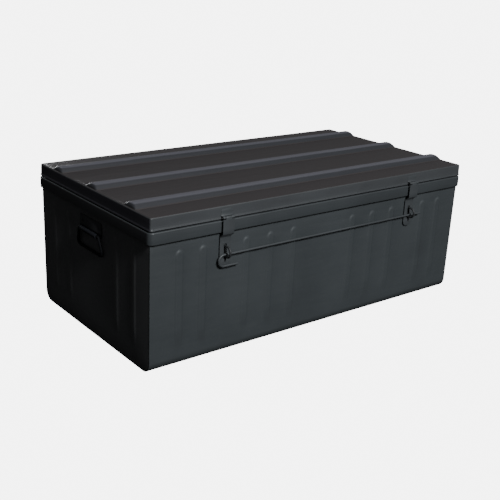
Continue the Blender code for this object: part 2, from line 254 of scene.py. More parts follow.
def stripPiece(name, width, path):  # a strip of sheet carried along a side profile of (y, z) points
    clearSelection()
    bpy.ops.mesh.primitive_plane_add(size=1.0)
    piece = bpy.context.object
    piece.name = name
    openEdit(piece, "EDGE")
    shape = bmesh.from_edit_mesh(piece.data)
    for vert in shape.verts:
        y, z = path[0] if vert.co.y < 0.0 else path[1]
        vert.co = Vector((math.copysign(width / 2, vert.co.x), y, z))
    bmesh.update_edit_mesh(piece.data)
    last = Vector((0.0, *path[1]))
    pick(piece, "EDGE",
         lambda edge: ((edge.verts[0].co + edge.verts[1].co) / 2 - last).length < mergeWithin)
    for (fromY, fromZ), (toY, toZ) in zip(path[1:], path[2:]):
        bpy.ops.mesh.extrude_edges_move(TRANSFORM_OT_translate={"value": (0.0, toY - fromY, toZ - fromZ)})
    closeEdit()
    return piece


def clearKnuckles(leaf, spans, reach):  # gaps where the other leaf's knuckles sit
    for low, high in spans:
        cutWith(leaf, boxPiece("cutter", (low, -reach, -reach), (high, reach, reach)))


def rolledStrip(name, width, path, sheet, corner, gaps, reach, softEdge, cornerSteps=5):
    # a strip rolled at one end, the path starting at its free end
    piece = stripPiece(name, width, path)
    end = path[0][1]
    roundCorners(piece, corner, cornerSteps, lambda vert: abs(vert.co.z - end) < closeTo)
    sheetMetal(piece, sheet, 0.0)
    clearKnuckles(piece, gaps, reach)
    softEdges(piece, softEdge)
    return piece


def runWire(name, radius, origin, across, up, start, heading, moves, sides=20, chamfer=0.22, chamferSteps=3):
    # a round wire steered in one plane: ("go", length) or ("turn", bend radius, degrees, steps)
    def inSpace(point):
        return origin + across * point[0] + up * point[1]

    point = Vector(start)
    ahead = across * math.cos(math.radians(heading)) + up * math.sin(math.radians(heading))
    clearSelection()
    bpy.ops.mesh.primitive_circle_add(vertices=sides, radius=radius, location=inSpace(point),
                                      rotation=ahead.to_track_quat("Z", "Y").to_euler())
    piece = bpy.context.object
    piece.name = name
    bpy.ops.object.transform_apply(location=True, rotation=True, scale=True)
    openEdit(piece, "EDGE")
    bpy.ops.mesh.select_all(action="SELECT")
    for move in moves:
        turned = math.radians(heading)
        if move[0] == "go":
            step = Vector((math.cos(turned), math.sin(turned))) * move[1]
            point += step
            bpy.ops.mesh.extrude_edges_move(TRANSFORM_OT_translate={"value": across * step.x + up * step.y})
        else:
            bend, degrees, steps = move[1:]
            sign = 1.0 if degrees > 0 else -1.0
            centre = point + Vector((-math.sin(turned), math.cos(turned))) * bend * sign
            bpy.ops.mesh.spin(steps=steps, angle=-math.radians(abs(degrees)), center=inSpace(centre),
                              axis=across.cross(up) * sign)
            heading += degrees
            turned = math.radians(heading)
            point = centre + Vector((math.sin(turned), -math.cos(turned))) * bend * sign
    bpy.ops.mesh.select_all(action="SELECT")
    bpy.ops.mesh.fill_holes(sides=0)
    closeEdit()
    recalcOutside(piece)
    bevelEdges(piece, radius * chamfer, chamferSteps,
               lambda edge: any(len(face.verts) == sides for face in edge.link_faces))
    return piece


def turnInto(piece, columns, place):  # stands a finished shape on new axes
    turn = Matrix((columns[0], columns[1], columns[2])).transposed().to_4x4()
    piece.matrix_world = Matrix.Translation(place) @ turn
    makeActive(piece)
    bpy.ops.object.transform_apply(location=True, rotation=True, scale=True)


def copyPiece(piece, name):
    twin = piece.copy()
    twin.data = piece.data.copy()
    twin.name = name
    bpy.context.scene.collection.objects.link(twin)
    return twin


def finishPiece(piece, name, body, material, nodes, smoothAngle=40.0):
    makeActive(piece)
    bpy.ops.object.transform_apply(location=True, rotation=True, scale=True)
    bpy.ops.object.shade_smooth_by_angle(angle=math.radians(smoothAngle))
    piece.name = name
    piece.data.name = name
    piece.data.materials.clear()
    piece.data.materials.append(material)
    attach(piece, body)
    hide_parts(*nodes)


def placeCopy(source, name, node, place, body, material):
    piece = copyPiece(source, name)
    piece.location = place
    finishPiece(piece, name, body, material, [node])


cameraSettings = {
    "place": (-1.2347, -1.5207, 0.8092),
    "azimuth": 38.693,
    "elevation": 19.629,
    "roll": 2.752,
    "lens": 60.45,
    "shiftUp": 0.0008,
    "sensor": 36.0,
    "farClip": 60.0,
}


def placeCamera():
    data = bpy.data.cameras.new("studioCamera")
    data.lens = cameraSettings["lens"]
    data.shift_y = cameraSettings["shiftUp"]
    data.sensor_width = cameraSettings["sensor"]
    data.clip_end = cameraSettings["farClip"]
    camera = bpy.data.objects.new("studioCamera", data)
    bpy.context.scene.collection.objects.link(camera)
    turn = Matrix.Rotation(-math.radians(cameraSettings["azimuth"]), 4, "Z")
    tip = Matrix.Rotation(math.radians(90.0 - cameraSettings["elevation"]), 4, "X")
    roll = Matrix.Rotation(math.radians(cameraSettings["roll"]), 4, "Z")
    camera.matrix_world = Matrix.Translation(cameraSettings["place"]) @ turn @ tip @ roll
    bpy.context.scene.camera = camera


lightSettings = [
    # name, place, size across, size up, power, colour
    ("keyPanel", (-0.50, -4.0, 3.3), 0.5, 1.2, 355.0, (0.94, 0.97, 1.0)),
    ("topPanel", (0.3, 0.2, 3.4), 2.4, 2.0, 7.0, (1.0, 0.92, 0.91)),
    ("backPanel", (0.35, 4.2, 0.52), 1.4, 0.8, 62.0, (0.96, 0.98, 1.0)),
    ("sidePanel", (4.2, 0.5, 0.52), 1.2, 0.8, 55.0, (0.96, 0.98, 1.0)),
]
lightAim = Vector((0.0, 0.0, 0.16))  # about the middle of the box


def placeLights():
    for name, place, across, up, power, colour in lightSettings:
        data = bpy.data.lights.new(name, "AREA")
        data.shape = "RECTANGLE"
        data.size = across
        data.size_y = up
        data.energy = power
        data.color = colour
        lamp = bpy.data.objects.new(name, data)
        bpy.context.scene.collection.objects.link(lamp)
        lamp.location = place
        lamp.rotation_euler = (lightAim - Vector(place)).to_track_quat("-Z", "Y").to_euler()


stageSettings = {
    "floorSize": 40.0, "floorHeight": -0.0005, "unseenFloor": (0.03, 0.03, 0.03), "background": 6.0,
    "surround": 0.125, "surroundColour": (0.95, 0.97, 1.0),
}


def seenOrNot(tree, seen, unseen):  # what is seen of the studio, and what lights the box
    nodes = tree.nodes
    rays = nodes.new("ShaderNodeLightPath")
    mixer = nodes.new("ShaderNodeMixShader")
    tree.links.new(rays.outputs["Is Camera Ray"], mixer.inputs["Fac"])
    tree.links.new(unseen.outputs[0], mixer.inputs[1])
    tree.links.new(seen.outputs[0], mixer.inputs[2])
    return mixer


def buildStage():
    clearSelection()
    bpy.ops.mesh.primitive_plane_add(size=stageSettings["floorSize"],
                                     location=(0.0, 0.0, stageSettings["floorHeight"]))
    floor = bpy.context.object
    floor.name = "studioFloor"
    material = bpy.data.materials.new("paleFloor")
    material.use_nodes = True
    tree = material.node_tree
    tree.nodes.clear()
    glow = tree.nodes.new("ShaderNodeEmission")
    glow.inputs["Color"].default_value = (1.0, 1.0, 1.0, 1.0)
    glow.inputs["Strength"].default_value = stageSettings["background"]
    dull = tree.nodes.new("ShaderNodeBsdfDiffuse")
    dull.inputs["Color"].default_value = (*stageSettings["unseenFloor"], 1.0)
    mixer = seenOrNot(tree, glow, dull)
    output = tree.nodes.new("ShaderNodeOutputMaterial")
    tree.links.new(mixer.outputs[0], output.inputs["Surface"])
    floor.data.materials.append(material)
    world = bpy.data.worlds.new("studioWorld")
    bpy.context.scene.world = world
    world.use_nodes = True
    tree = world.node_tree
    tree.nodes.clear()
    seen = tree.nodes.new("ShaderNodeBackground")
    seen.inputs["Color"].default_value = (1.0, 1.0, 1.0, 1.0)
    seen.inputs["Strength"].default_value = stageSettings["background"]
    unseen = tree.nodes.new("ShaderNodeBackground")
    unseen.inputs["Color"].default_value = (*stageSettings["surroundColour"], 1.0)
    unseen.inputs["Strength"].default_value = stageSettings["surround"]
    mixer = seenOrNot(tree, seen, unseen)
    output = tree.nodes.new("ShaderNodeOutputWorld")
    tree.links.new(mixer.outputs[0], output.inputs["Surface"])


placeCamera()
placeLights()
buildStage()
print("stage ready")


def newTree(name):
    material = bpy.data.materials.new(name)
    material.use_nodes = True
    return material, material.node_tree


def addNoise(tree, coordinates, look):
    mapping = tree.nodes.new("ShaderNodeMapping")
    mapping.inputs["Scale"].default_value = look.get("stretch", (1.0, 1.0, 1.0))
    tree.links.new(coordinates, mapping.inputs["Vector"])
    noise = tree.nodes.new("ShaderNodeTexNoise")
    noise.inputs["Scale"].default_value = look["scale"]
    noise.inputs["Detail"].default_value = look["detail"]
    noise.inputs["Roughness"].default_value = look["rough"]
    tree.links.new(mapping.outputs["Vector"], noise.inputs["Vector"])
    return noise.outputs["Fac"]


def addRamp(tree, source, fromLow, fromHigh, toLow, toHigh):
    ramp = tree.nodes.new("ShaderNodeMapRange")
    ramp.clamp = True
    ramp.inputs["From Min"].default_value = fromLow
    ramp.inputs["From Max"].default_value = fromHigh
    ramp.inputs["To Min"].default_value = toLow
    ramp.inputs["To Max"].default_value = toHigh
    tree.links.new(source, ramp.inputs["Value"])
    return ramp.outputs["Result"]


def addMix(tree, factor, first, second):
    mixer = tree.nodes.new("ShaderNodeMix")
    mixer.data_type = "RGBA"
    tree.links.new(factor, mixer.inputs["Factor"])
    for socket, value in ((mixer.inputs["A"], first), (mixer.inputs["B"], second)):
        if isinstance(value, tuple):
            socket.default_value = (*value, 1.0)
        else:
            tree.links.new(value, socket)
    return mixer.outputs["Result"]


def addBump(tree, height, bump, normal=None):  # bump is (strength, distance)
    node = tree.nodes.new("ShaderNodeBump")
    node.inputs["Strength"].default_value = bump[0]
    node.inputs["Distance"].default_value = bump[1]
    tree.links.new(height, node.inputs["Height"])
    if normal:
        tree.links.new(normal, node.inputs["Normal"])
    return node.outputs["Normal"]


def addAxis(tree, coordinates, axis):
    split = tree.nodes.new("ShaderNodeSeparateXYZ")
    tree.links.new(coordinates, split.inputs["Vector"])
    return split.outputs[axis]


paintSettings = {
    "cloud": {"scale": 6.0, "detail": 5.0, "rough": 0.55},  # slow drift between two tones
    "cloudRange": (0.35, 0.68), "cloudLift": 1.22,
    "speck": {"scale": 240.0, "detail": 3.0, "rough": 0.6},  # dust and rubbed grains
    "speckRange": (0.64, 0.78), "speckShare": 0.55, "dustLift": 2.1, "dustFloor": 0.012,
    "drawn": {"scale": 46.0, "detail": 4.0, "rough": 0.6, "stretch": (0.25, 1.0, 3.2)},  # wiped streaks
    "drawnRange": (0.3, 0.7), "smear": (-0.045, 0.055),
    "patch": {"scale": 14.0, "detail": 4.0, "rough": 0.6, "stretch": (0.35, 1.0, 1.0)},
    "patchRange": (0.3, 0.7), "patchShift": 0.03, "levelFade": 0.0008, "endFade": 0.0006,
    "swell": {"scale": 9.0, "detail": 2.0, "rough": 0.4},  # the sheet is not quite flat
    "swellBump": (0.10, 0.0020),
    "peel": {"scale": 620.0, "detail": 2.0, "rough": 0.5},  # orange peel
    "peelBump": (0.16, 0.00012),
}


def layerByHeight(tree, coordinates, base, levels):  # other tones above a height
    s = paintSettings
    low = levels["low"]
    high = levels["high"]
    stops = levels["stops"]
    height = addAxis(tree, coordinates, "Z")
    patchy = addRamp(tree, addNoise(tree, coordinates, s["patch"]), *s["patchRange"], -s["patchShift"],
                     s["patchShift"])
    bands = tree.nodes.new("ShaderNodeValToRGB")
    while len(bands.color_ramp.elements) < len(stops):
        bands.color_ramp.elements.new(0.5)
    for stop, (place, tone) in zip(bands.color_ramp.elements, stops):
        stop.position = (place - low) / (high - low)
        stop.color = (*tone, 1.0)
    level = tree.nodes.new("ShaderNodeMath")
    level.operation = "ADD"
    tree.links.new(addRamp(tree, height, low, high, 0.0, 1.0), level.inputs[0])
    tree.links.new(patchy, level.inputs[1])
    tree.links.new(level.outputs["Value"], bands.inputs["Fac"])
    above = addRamp(tree, height, low, low + s["levelFade"], 0.0, 1.0)
    return addMix(tree, above, base, bands.outputs["Color"])


def paintEndShade(tree, coordinates, base, ends):  # painted shade: a darker tone beyond a distance along the box, on the end faces that lie in shade
    start, tone = ends
    distance = tree.nodes.new("ShaderNodeMath")
    distance.operation = "ABSOLUTE"
    tree.links.new(addAxis(tree, coordinates, "X"), distance.inputs[0])
    past = addRamp(tree, distance.outputs["Value"], start, start + paintSettings["endFade"], 0.0, 1.0)
    return addMix(tree, past, base, tone)


def stovedPaint(name, colour, roughness, worn=0.5, levels=None, ends=None, gloss=0.5, metal=0.0):
    s = paintSettings
    material, tree = newTree(name)
    shader = tree.nodes["Principled BSDF"]
    coordinates = tree.nodes.new("ShaderNodeTexCoord").outputs["Object"]
    light = tuple(channel * s["cloudLift"] for channel in colour)
    cloud = addNoise(tree, coordinates, s["cloud"])
    base = addMix(tree, addRamp(tree, cloud, *s["cloudRange"], 0.0, 1.0), colour, light)
    dusty = tuple(min(channel * s["dustLift"] + s["dustFloor"], 1.0) for channel in colour)
    speck = addNoise(tree, coordinates, s["speck"])
    base = addMix(tree, addRamp(tree, speck, *s["speckRange"], 0.0, worn * s["speckShare"]), base, dusty)
    if levels:
        base = layerByHeight(tree, coordinates, base, levels)
    if ends:
        base = paintEndShade(tree, coordinates, base, ends)
    tree.links.new(base, shader.inputs["Base Color"])
    drawn = addNoise(tree, coordinates, s["drawn"])
    shiny, dull = s["smear"]
    smear = addRamp(tree, drawn, *s["drawnRange"], roughness + shiny, roughness + dull)
    tree.links.new(smear, shader.inputs["Roughness"])
    normal = addBump(tree, addNoise(tree, coordinates, s["swell"]), s["swellBump"])
    normal = addBump(tree, addNoise(tree, coordinates, s["peel"]), s["peelBump"], normal)
    tree.links.new(normal, shader.inputs["Normal"])
    shader.inputs["Specular IOR Level"].default_value = gloss
    shader.inputs["Metallic"].default_value = metal
    return material


lidShadeAndHighlightBands = {"low": 0.3300, "high": 0.3410, "stops": (  # brownish flats between ribs, painted shade on the rib flanks and a painted highlight along the crests
    (0.3300, (0.0302, 0.0262, 0.0264)),
    (0.3318, (0.0302, 0.0262, 0.0264)),
    (0.3330, (0.023, 0.024, 0.027)),
    (0.3384, (0.025, 0.026, 0.030)),
    (0.3401, (0.078, 0.077, 0.090)),
)}
bracketLightAndShadeBands = {"low": 0.2420, "high": 0.2660, "stops": (  # painted light and shade: the tube, which catches the lamp, is painted darker and the plate above it, which faces the shade, lighter
    (0.2420, (0.040, 0.040, 0.042)),
    (0.2660, (0.040, 0.040, 0.042)),
)}
# painted shade: the ends of the lid and collar are darker than their fronts
lidEndShade = (0.4494, (0.020, 0.019, 0.0245))
collarEndShade = (0.4530, (0.022, 0.022, 0.024))
bodyPaint = stovedPaint("bodyPaint", (0.034, 0.038, 0.040), 0.46)
lidPaint = stovedPaint("lidPaint", (0.037, 0.039, 0.041), 0.44, levels=lidShadeAndHighlightBands, ends=lidEndShade)
# painted light: the end panels get a lighter copy of the body paint to lift them out of shade
endPaint = stovedPaint("endPaint", (0.048, 0.048, 0.0492), 0.58)
# painted shade: the tube's near-black base colour; the bands above it paint the plate lighter
bracketPaint = stovedPaint("bracketPaint", (0.009, 0.0095, 0.012), 0.74, worn=0.2, levels=bracketLightAndShadeBands,
                           gloss=0.12)
# painted shade: the bail is painted near black so that it reads as shaded against the end panel
handlePaint = stovedPaint("handlePaint", (0.004, 0.0043, 0.0052), 0.74, worn=0.1, gloss=0.12)
fittingPaint = stovedPaint("fittingPaint", (0.036, 0.039, 0.041), 0.42, worn=0.8)
pinSteel = stovedPaint("pinSteel", (0.09, 0.09, 0.09), 0.40, worn=1.0, metal=0.8)
haspPaint = stovedPaint("haspPaint", (0.034, 0.037, 0.039), 0.52, worn=0.6)
# painted shade: the collar gets a darker copy of the body paint to hold back the light it catches
collarPaint = stovedPaint("collarPaint", (0.0300, 0.0333, 0.0352), 0.46, ends=collarEndShade)
staplePaint = stovedPaint("staplePaint", (0.014, 0.015, 0.016), 0.60, worn=0.4)
rodPaint = stovedPaint("rodPaint", (0.030, 0.033, 0.035), 0.54, worn=0.7)
print("finishes ready")


bodySettings = {
    "halfLength": 0.4485, "halfWidth": 0.236, "top": 0.300, "sheet": 0.0015, "bend": 0.025, "bendSteps": 16,
    "ribs": (0.088, 0.152, 0.216, 0.325, 0.381), "ribCrest": 0.0125, "ribHeight": 0.0020,
    "softEdge": 0.0004, "softAngle": 60.0, "smooth": 30.0,
}


def buildBodyShell():
    s = bodySettings
    low = (-s["halfLength"], -s["halfWidth"], 0.0)
    high = (s["halfLength"], s["halfWidth"], s["top"])
    piece = boxPiece("bodyShell", low, high)
    dropFaces(piece, lambda face: face.normal.z > turnedTo or abs(face.normal.x) > turnedTo)
    bevelEdges(piece, s["bend"], s["bendSteps"],
               lambda edge: not edge.is_boundary and runsAlong(edge, xAxis))
    sliceAlong(piece, xAxis, ribCuts(s["ribs"]), lambda face: abs(face.normal.y) > squareOn)
    sliceAlong(piece, zAxis, ribSettings["rows"], lambda face: abs(face.normal.y) > squareOn)

    def press(point):
        if abs(abs(point.y) - s["halfWidth"]) > closeTo:
            return Vector()
        rise = pressedRib(point.x, point.z, s["ribs"], s["ribCrest"])
        return yAxis * math.copysign(rise * s["ribHeight"], point.y)

    moveVerts(piece, press)
    recalcOutside(piece)
    sheetMetal(piece, s["sheet"])
    softEdges(piece, s["softEdge"], s["softAngle"])
    finishPiece(piece, "bodyShell", "trunk", bodyPaint, ["body_wrap"], s["smooth"])


endSettings = {
    "halfWidth": 0.2342, "bottom": 0.0018, "top": 0.2995, "spare": 0.020, "corner": 0.0234,
    "cornerSteps": 12, "fold": 0.0022, "foldSteps": 5, "flangeStart": 0.006, "flange": 0.016,
    "sheet": 0.0015, "ribs": (0.105, 0.175), "ribCrest": 0.0070, "ribHeight": 0.0015,
    "softEdge": 0.0004, "softAngle": 60.0, "smooth": 30.0,
}


def buildEndPlates():  # each end is a tray: pressed face, folded rim, flange tucked inside the wrap
    s = endSettings
    fold = s["fold"]
    past = s["top"] + s["corner"] + s["spare"]  # the tray is made too tall and its top cut off
    middle = (s["bottom"] + past) / 2
    halfHeight = (past - s["bottom"]) / 2
    piece = planePiece("endPlate", s["halfWidth"] - fold, halfHeight - fold)
    roundCorners(piece, s["corner"] - fold, s["cornerSteps"], lambda vert: True)
    sliceAlong(piece, xAxis, ribCuts(s["ribs"]), lambda face: True)
    sliceAlong(piece, yAxis, [row - middle for row in ribSettings["rows"]], lambda face: True)

    def press(point):
        return zAxis * s["ribHeight"] * pressedRib(point.x, point.y + middle, s["ribs"], s["ribCrest"])

    moveVerts(piece, press)
    core = (s["halfWidth"] - s["corner"], halfHeight - s["corner"])
    rings = arcPoints((s["corner"] - fold, -fold), fold, 90.0, 0.0, s["foldSteps"])[1:]
    sweepRim(piece, core, rings + [(s["corner"], -s["flangeStart"]), (s["corner"], -s["flange"])])
    cutAway(piece, (0.0, s["top"] - middle, 0.0), (0.0, 1.0, 0.0))
    recalcOutside(piece)
    openEdit(piece, "FACE")
    if pick(piece, "FACE", lambda face: face.normal.z < -turnedTo):
        bpy.ops.mesh.select_all(action="SELECT")
        bpy.ops.mesh.flip_normals()
    closeEdit()
    sheetMetal(piece, s["sheet"])
    softEdges(piece, s["softEdge"], s["softAngle"])
    twin = copyPiece(piece, "endPlateRight")
    turnInto(piece, (-yAxis, zAxis, -xAxis), (-bodySettings["halfLength"], 0.0, middle))
    turnInto(twin, (yAxis, zAxis, xAxis), (bodySettings["halfLength"], 0.0, middle))
    finishPiece(piece, "endPlateLeft", "trunk", endPaint, ["end_panel_left"],
                s["smooth"])
    finishPiece(twin, "endPlateRight", "trunk", endPaint, ["end_panel_right"],
                s["smooth"])


collarSettings = {
    "halfLength": 0.454, "halfWidth": 0.243, "corner": 0.0125, "cornerSteps": 10, "sheet": 0.0015,
    "top": 0.3018, "bottom": 0.276, "lip": 0.0120, "lipDrop": 0.0030,
    "lipTurn": ((0.0, 0.0012), (0.0004, 0.0004), (0.0012, 0.0)),  # out from the lip, below the top
    "topRound": 0.0026, "topSteps": 7, "swelling": 0.0003, "bottomRound": 0.0022, "bottomSteps": 6,
    "body": 0.0053, "softEdge": 0.0003, "softAngle": 60.0, "smooth": 35.0,
}


def buildRimCollar():
    s = collarSettings
    corner = s["corner"]
    top = s["top"]
    bottom = s["bottom"]
    inner = corner - s["lip"]
    piece = planePiece("rimCollar", s["halfLength"] - s["lip"], s["halfWidth"] - s["lip"],
                       top - s["lipDrop"])
    roundCorners(piece, inner, s["cornerSteps"], lambda vert: True)
    core = (s["halfLength"] - corner, s["halfWidth"] - corner)
    topRound = s["topRound"]
    bottomRound = s["bottomRound"]
    rings = [(inner + out, top - drop) for out, drop in s["lipTurn"]]
    rings += arcPoints((corner - topRound, top - topRound), topRound, 90.0, 0.0, s["topSteps"])
    rings += [(corner + s["swelling"], (top + bottom) / 2)]
    rings += arcPoints((corner - bottomRound, bottom + bottomRound), bottomRound, 0.0, -90.0,
                       s["bottomSteps"])
    rings += [(corner - s["body"], bottom)]
    sweepRim(piece, core, rings)
    dropFaces(piece, lambda face: len(face.verts) > 8, "ONLY_FACE")  # the cap over the mouth
    recalcOutside(piece)
    sheetMetal(piece, s["sheet"])
    softEdges(piece, s["softEdge"], s["softAngle"])
    finishPiece(piece, "rimCollar", "trunk", collarPaint, ["rim_collar"], s["smooth"])


lidSettings = {
    "halfLength": 0.450, "halfWidth": 0.2396, "corner": 0.0046, "cornerSteps": 6, "top": 0.331,
    "sheet": 0.0013, "ribs": (-0.157, 0.0, 0.157), "ribWidth": 0.048, "ribHeight": 0.0098,
    "ribEnd": 0.4470, "across": 26, "ribCrown": 2.6, "ribFoot": 1.2, "ribNose": 0.0065, "noseTurn": 9,
    "edge": 0.0028, "edgeStart": 75.0, "edgeSteps": 5,
    "skirt": ((0.00035, 0.3190), (0.0007, 0.3094), (0.0009, 0.3082), (0.0013, 0.3075)),  # (out, height)
    "hemOut": 0.0047, "hemZ": 0.3054, "hemRound": 0.0019, "hemTurn": (84.0, -75.0), "hemSteps": 8,
    "smooth": 35.0,
}


def buildLidShell():
    s = lidSettings
    edge = s["edge"]
    nose = s["ribNose"]
    piece = planePiece("lidShell", s["halfLength"] - edge, s["halfWidth"] - edge, s["top"])
    roundCorners(piece, s["corner"] - edge, s["cornerSteps"], lambda vert: True)
    places = []
    for centre in s["ribs"]:
        places += ribPlaces(centre, s["ribWidth"], s["across"])
    sliceAlong(piece, yAxis, places, lambda face: True)
    ends = [s["ribEnd"] - nose * (1.0 - math.sin(math.radians(turn)))
            for turn in range(0, 91, s["noseTurn"])]
    sliceAlong(piece, xAxis, [-place for place in ends] + ends, lambda face: True)

    def press(point):
        side = min(abs(point.y - centre) for centre in s["ribs"]) / (s["ribWidth"] / 2)
        if side > 1.0:
            return Vector()
        over = min(max(abs(point.x) - s["ribEnd"] + nose, 0.0) / nose, 1.0)
        rise = (1.0 - side ** s["ribCrown"]) ** s["ribFoot"] * math.sqrt(1.0 - over * over)
        return zAxis * rise * s["ribHeight"]

    moveVerts(piece, press)
    core = (s["halfLength"] - s["corner"], s["halfWidth"] - s["corner"])
    rings = arcPoints((s["corner"] - edge, s["top"] - edge), edge, s["edgeStart"], 0.0, s["edgeSteps"])
    rings += [(s["corner"] + out, height) for out, height in s["skirt"]]
    rings += arcPoints((s["hemOut"], s["hemZ"]), s["hemRound"], *s["hemTurn"], s["hemSteps"])
    sweepRim(piece, core, rings)
    recalcOutside(piece)
    sheetMetal(piece, s["sheet"])
    finishPiece(piece, "lidShell", "lid", lidPaint, ["lid"], s["smooth"])


pinSettings = {"sides": 24, "peen": 0.0006, "roundShare": 0.4, "roundSteps": 3}


def pinPiece(name, radius, length):  # a pin with its ends peened over
    s = pinSettings
    end = length / 2 - s["peen"]
    clearSelection()
    bpy.ops.mesh.primitive_cylinder_add(vertices=s["sides"], radius=radius, depth=length,
                                        rotation=(0.0, math.pi / 2, 0.0))
    piece = bpy.context.object
    bpy.ops.object.transform_apply(location=True, rotation=True, scale=True)
    sliceAlong(piece, xAxis, (-end, end), lambda face: True)
    bevelEdges(piece, radius * s["roundShare"], s["roundSteps"],
               lambda edge: any(len(face.verts) == s["sides"] for face in edge.link_faces))
    piece.name = name
    return piece


leafSettings = {  # paths are (y, z) from the hinge's axis, from the free end to the roll
    "hingeX": (("left", -0.273), ("middle", 0.0), ("right", 0.273)), "axisY": 0.2475, "axisZ": 0.3025,
    "width": 0.060, "sheet": 0.0016, "corner": 0.004, "softEdge": 0.00025,
    "roll": 0.0032, "rollSteps": 26, "knuckle": 0.020, "gap": 0.0003, "cutReach": 0.0008, "cutPast": 0.002,
    "bodyPath": ((-0.0034, -0.0255), (-0.0034, -0.016), (-0.0034, -0.0065), (-0.0033, -0.003)),
    "bodyRoll": (180.0, -105.0),
    "lidPath": ((-0.0068, 0.0265), (-0.0068, 0.016), (-0.0068, 0.0092), (-0.0062, 0.0076),
                (-0.0046, 0.0062), (-0.0036, 0.0050), (-0.0033, 0.0030)),
    "lidRoll": (180.0, 450.0),
    "pin": 0.002, "pinSpare": 0.0012, "rivetX": 0.0204, "bodyRivetZ": -0.017, "lidRivetZ": 0.018,
}


def buildHinges():
    s = leafSettings
    reach = s["roll"] + s["sheet"] / 2 + s["cutReach"]
    half = s["width"] / 2
    inner = s["knuckle"] / 2
    middleGap = ((-inner - s["gap"], inner + s["gap"]),)
    sideGaps = ((-half - s["cutPast"], -inner), (inner, half + s["cutPast"]))
    bodyPath = list(s["bodyPath"]) + arcPoints((0.0, 0.0), s["roll"], *s["bodyRoll"], s["rollSteps"])
    lidPath = list(s["lidPath"]) + arcPoints((0.0, 0.0), s["roll"], *s["lidRoll"], s["rollSteps"])
    bodyLeaf = rolledStrip("bodyLeaf", s["width"], bodyPath, s["sheet"], s["corner"], middleGap, reach,
                           s["softEdge"])
    lidLeaf = rolledStrip("lidLeaf", s["width"], lidPath, s["sheet"], s["corner"], sideGaps, reach,
                          s["softEdge"])
    pin = pinPiece("hingePin", s["pin"], s["width"] + s["pinSpare"])
    for label, x in s["hingeX"]:
        place = Vector((x, s["axisY"], s["axisZ"]))
        placeCopy(bodyLeaf, "hingeBodyLeaf_" + label, "hinge_body_leaf_" + label, place, "trunk",
                  fittingPaint)
        placeCopy(lidLeaf, "hingeLidLeaf_" + label, "hinge_lid_leaf_" + label, place, "lid",
                  fittingPaint)
        placeCopy(pin, "hingePin_" + label, "hinge_pin_" + label, place, "lid", pinSteel)
    for source in (bodyLeaf, lidLeaf, pin):
        bpy.data.objects.remove(source)


haspSettings = {  # paths are (y, z) from the hasp's own hinge
    "sides": (("left", -0.273), ("right", 0.273)), "axisY": -0.247, "axisZ": 0.308, "width": 0.028,
    "knuckle": 0.0144, "gap": 0.0003, "cutReach": 0.0009, "cutPast": 0.002, "rollSteps": 24,
    "plateSheet": 0.0008, "plateRoll": 0.0025, "plateTurn": (90.0, 375.0), "plateCorner": 0.004,
    "plateSoft": 0.0002,
    "platePath": ((0.0068, 0.0165), (0.0068, 0.010), (0.0068, 0.0044), (0.0064, 0.0034), (0.0057, 0.0028),
                  (0.0036, 0.0025), (0.0016, 0.0025)),
    "strapSheet": 0.0016, "strapRoll": 0.0021, "strapTurn": (-100.0, 180.0), "strapSoft": 0.0003,
    "strapPath": ((-0.0020, -0.0040), (-0.0018, -0.0100), (-0.0018, -0.0240), (-0.0018, -0.0335),
                  (-0.0011, -0.0349), (0.0073, -0.0411), (0.0078, -0.0425), (0.0078, -0.0550),
                  (0.0078, -0.0740), (0.0078, -0.0950), (0.0078, -0.1075)),
    "tipCorner": 0.0115, "tipSteps": 8, "slotWidth": 0.0075, "slotLow": -0.0905, "slotHigh": -0.0575,
    "slotReach": 0.004, "slotRound": 0.49, "slotSteps": 8, "pin": 0.0012, "pinSpare": 0.0010,
}


def slotCutter(y):  # a slot with round ends
    s = haspSettings
    half = s["slotWidth"] / 2
    piece = boxPiece("cutter", (-half, y - s["slotReach"], s["slotLow"]),
                     (half, y + s["slotReach"], s["slotHigh"]))
    bevelEdges(piece, s["slotWidth"] * s["slotRound"], s["slotSteps"], lambda edge: runsAlong(edge, yAxis))
    return piece


def strapPiece(path, gaps, reach):
    s = haspSettings
    tongue, tip = path[-1]
    strap = stripPiece("haspStrap", s["width"], path)
    roundCorners(strap, s["tipCorner"], s["tipSteps"], lambda vert: vert.co.z < tip + closeTo)
    sheetMetal(strap, s["strapSheet"], 0.0)
    clearKnuckles(strap, gaps, reach)
    cutWith(strap, slotCutter(tongue))
    softEdges(strap, s["strapSoft"])
    return strap


def buildHasps():
    s = haspSettings
    reach = s["plateRoll"] + s["plateSheet"] / 2 + s["cutReach"]
    inner = s["knuckle"] / 2
    half = s["width"] / 2
    middleGap = ((-inner - s["gap"], inner + s["gap"]),)
    sideGaps = ((-half - s["cutPast"], -inner), (inner, half + s["cutPast"]))
    plateArc = arcPoints((0.0, 0.0), s["plateRoll"], *s["plateTurn"], s["rollSteps"])
    strapArc = arcPoints((0.0, 0.0), s["strapRoll"], *s["strapTurn"], s["rollSteps"])
    plate = rolledStrip("haspPlate", s["width"], list(s["platePath"]) + plateArc, s["plateSheet"],
                        s["plateCorner"], middleGap, reach, s["plateSoft"])
    strap = strapPiece(strapArc + list(s["strapPath"]), sideGaps, reach)
    pin = pinPiece("haspPin", s["pin"], s["width"] + s["pinSpare"])
    for label, x in s["sides"]:
        place = Vector((x, s["axisY"], s["axisZ"]))
        placeCopy(plate, "haspPlate_" + label, "hasp_plate_" + label, place, "lid", haspPaint)
        placeCopy(strap, "haspStrap_" + label, "hasp_strap_" + label, place, "hasp_" + label,
                  haspPaint)
        placeCopy(pin, "haspPin_" + label, "hasp_pin_" + label, place, "lid", pinSteel)
    for source in (plate, strap, pin):
        bpy.data.objects.remove(source)


